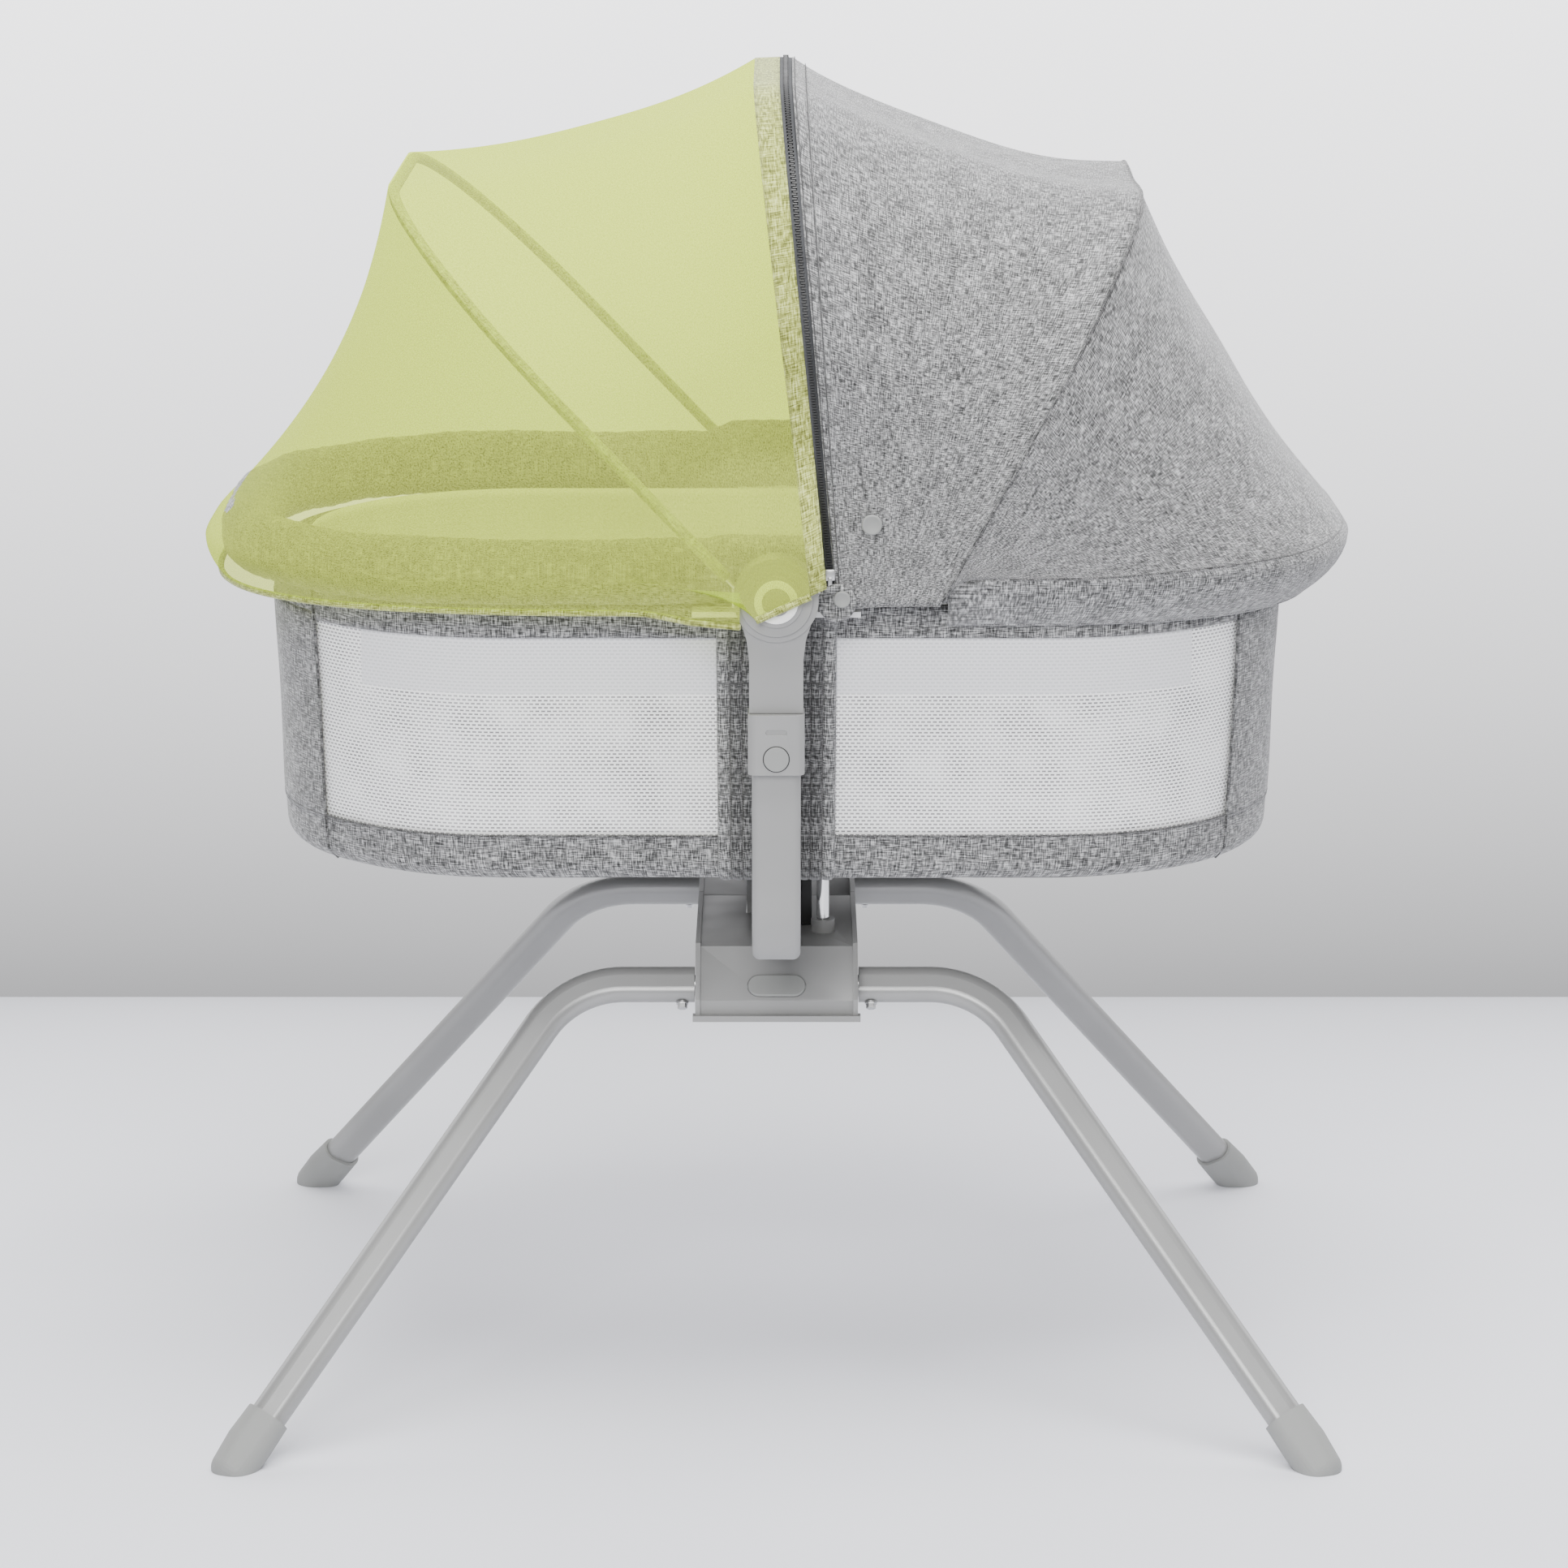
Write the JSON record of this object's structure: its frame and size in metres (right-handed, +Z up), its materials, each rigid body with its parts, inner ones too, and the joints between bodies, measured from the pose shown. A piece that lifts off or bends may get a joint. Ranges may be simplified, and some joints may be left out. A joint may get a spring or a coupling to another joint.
{
  "type": "bassinet on stand",
  "caption": "Fabric-sided bassinet with mesh windows, folding hood and insect net, hung between two telescopic posts on a bent-leg stand.",
  "frame": {"origin": "middle of the footprint, on the floor", "axes": "+X along the crib towards the hood end, -Y the near long side, +Z up"},
  "size_m": [0.9362, 0.8004, 1.0656],
  "materials": {
    "grey_plastic": "satin moulded",
    "light_plastic": "fine texture moulded",
    "leg_paint": "satin powder coat",
    "steel": "zinc plated",
    "black_plastic": "matt",
    "white_plastic": "semi-gloss",
    "heather_fabric": "woven melange",
    "white_mesh": "spacer mesh",
    "white_fabric": "plain weave",
    "board": "matt board",
    "lime_net": "fine net"
  },
  "bodies": {
    "stand": {"base_beam": "steel", "front_housing": "grey_plastic", "rear_housing": "grey_plastic", "arm_clamp": "grey_plastic", "front_arm": "grey_plastic", "rear_arm": "grey_plastic", "support_strut": "black_plastic", "lock_rod": "steel", "rod_socket": "grey_plastic"},
    "front_legs": {"front_leg_left": "leg_paint", "front_leg_right": "leg_paint", "front_boot_left": "light_plastic", "front_boot_right": "light_plastic", "front_leg_shaft": "steel", "front_leg_bolts": "steel"},
    "rear_legs": {"rear_leg_left": "leg_paint", "rear_leg_right": "leg_paint", "rear_boot_left": "light_plastic", "rear_boot_right": "light_plastic", "rear_leg_shaft": "steel", "rear_leg_bolts": "steel"},
    "front_release_button": {"front_release": "light_plastic"},
    "rear_release_button": {"rear_release": "light_plastic"},
    "posts": {"front_sleeve": "grey_plastic", "rear_sleeve": "grey_plastic", "front_collar": "grey_plastic", "rear_collar": "grey_plastic", "front_hub_ring": "white_plastic", "rear_hub_ring": "white_plastic", "front_hub_cap": "grey_plastic", "rear_hub_cap": "grey_plastic"},
    "front_button": {"front_height_button": "light_plastic"},
    "rear_button": {"rear_height_button": "light_plastic"},
    "crib": {"rim_tube_left": "steel", "rim_tube_right": "steel", "rim_pad": "heather_fabric", "front_bracket": "white_plastic", "rear_bracket": "white_plastic", "front_hub_pin": "steel", "rear_hub_pin": "steel", "basket_wall": "heather_fabric", "mesh_front_left": "white_mesh", "mesh_front_right": "white_mesh", "mesh_rear_left": "white_mesh", "mesh_rear_right": "white_mesh", "base_board": "board", "mattress": "white_fabric", "inner_skirt": "white_fabric"},
    "rear_hoop": {"rear_bow": "steel", "hood_rear_panel": "heather_fabric"},
    "front_hoop": {"front_bow": "steel", "hood_front_panel": "heather_fabric"},
    "net_hoop": {"net_bow": "steel", "net_end_panel": "lime_net"},
    "net_front": {"net_edge": "heather_fabric", "net_mid_panel": "lime_net"}
  },
  "joints": [
    {"name": "front_leg_fold", "type": "hinge", "parent": "stand", "child": "front_legs", "pos_m": [0, -0.16, 0.337], "axis": [1, 0, 0], "range_deg": [0, 33]},
    {"name": "rear_leg_fold", "type": "hinge", "parent": "stand", "child": "rear_legs", "pos_m": [0, 0.16, 0.337], "axis": [-1, 0, 0], "range_deg": [0, 33]},
    {"name": "front_release_press", "type": "slide", "parent": "stand", "child": "front_release_button", "axis": [0, 0.7849, -0.6196], "range_m": [0, 0.004], "stiffness_N_per_m": 400, "springref_m": -0.002},
    {"name": "rear_release_press", "type": "slide", "parent": "stand", "child": "rear_release_button", "axis": [0, -0.7849, -0.6196], "range_m": [0, 0.004], "stiffness_N_per_m": 400, "springref_m": -0.002},
    {"name": "post_lift", "type": "slide", "parent": "stand", "child": "posts", "axis": [0, 0, 1], "range_m": [0, 0.08]},
    {"name": "front_height_press", "type": "slide", "parent": "posts", "child": "front_button", "axis": [0, 1, 0], "range_m": [0, 0.004], "stiffness_N_per_m": 400, "springref_m": -0.002},
    {"name": "rear_height_press", "type": "slide", "parent": "posts", "child": "rear_button", "axis": [0, -1, 0], "range_m": [0, 0.004], "stiffness_N_per_m": 400, "springref_m": -0.002},
    {"name": "crib_tilt", "type": "hinge", "parent": "posts", "child": "crib", "pos_m": [0, 0, 0.691], "axis": [0, 1, 0], "range_deg": [-6, 6]},
    {"name": "hood_fold", "type": "hinge", "parent": "crib", "child": "rear_hoop", "pos_m": [0, 0, 0.691], "axis": [0, 1, 0], "range_deg": [0, 30], "deforming": ["hood_rear_panel"]},
    {"name": "front_hoop_fold", "type": "hinge", "parent": "rear_hoop", "child": "front_hoop", "pos_m": [0, 0, 0.691], "axis": [0, 1, 0], "range_deg": [0, 35], "deforming": ["hood_front_panel"]},
    {"name": "net_fold", "type": "hinge", "parent": "crib", "child": "net_hoop", "pos_m": [0, 0, 0.691], "axis": [0, -1, 0], "range_deg": [0, 34], "deforming": ["net_end_panel"]},
    {"name": "net_front_fold", "type": "hinge", "parent": "net_hoop", "child": "net_front", "pos_m": [0, 0, 0.691], "axis": [0, -1, 0], "range_deg": [0, 30], "deforming": ["net_mid_panel"]}
  ],
  "couplings": [
    {"joint": "front_hoop_fold", "follows": "hood_fold", "ratio": 1.1667},
    {"joint": "net_front_fold", "follows": "net_fold", "ratio": 0.88235}
  ]
}
